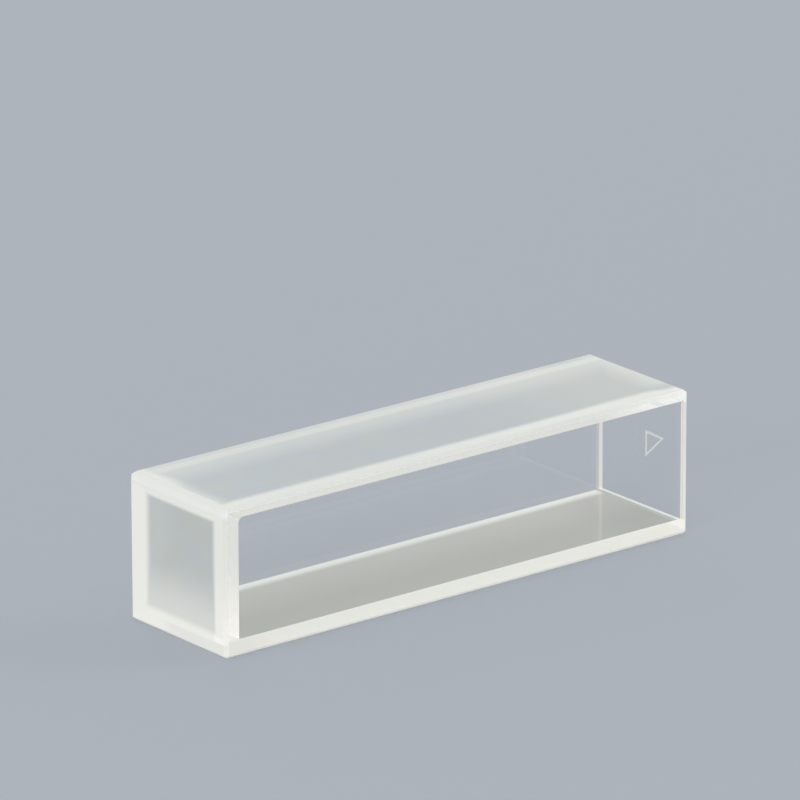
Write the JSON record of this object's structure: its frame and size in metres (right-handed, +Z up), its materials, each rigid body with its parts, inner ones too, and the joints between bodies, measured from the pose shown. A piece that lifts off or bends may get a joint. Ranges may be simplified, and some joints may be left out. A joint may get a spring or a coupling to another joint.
{
  "type": "cuvette",
  "caption": "Square spectrophotometer cuvette of fused quartz lying on a ground side, with clear polished windows, frosted side plates and base, and an open mouth.",
  "frame": {"origin": "centre of the face that the cell lies on, the outside of the lower side plate", "axes": "+X along the cell from the closed base to the open mouth, -Y out through the front window, +Z up out of the upper side plate"},
  "size_m": [0.048, 0.0126, 0.0125],
  "materials": {
    "polished_quartz": "polished clear on both faces",
    "ground_quartz": "ground frosted outside, polished inside"
  },
  "bodies": {
    "root": {"front_window": "polished_quartz", "back_window": "polished_quartz", "upper_side_plate": "ground_quartz", "lower_side_plate": "ground_quartz", "base_plate": "ground_quartz"}
  },
  "joints": []
}
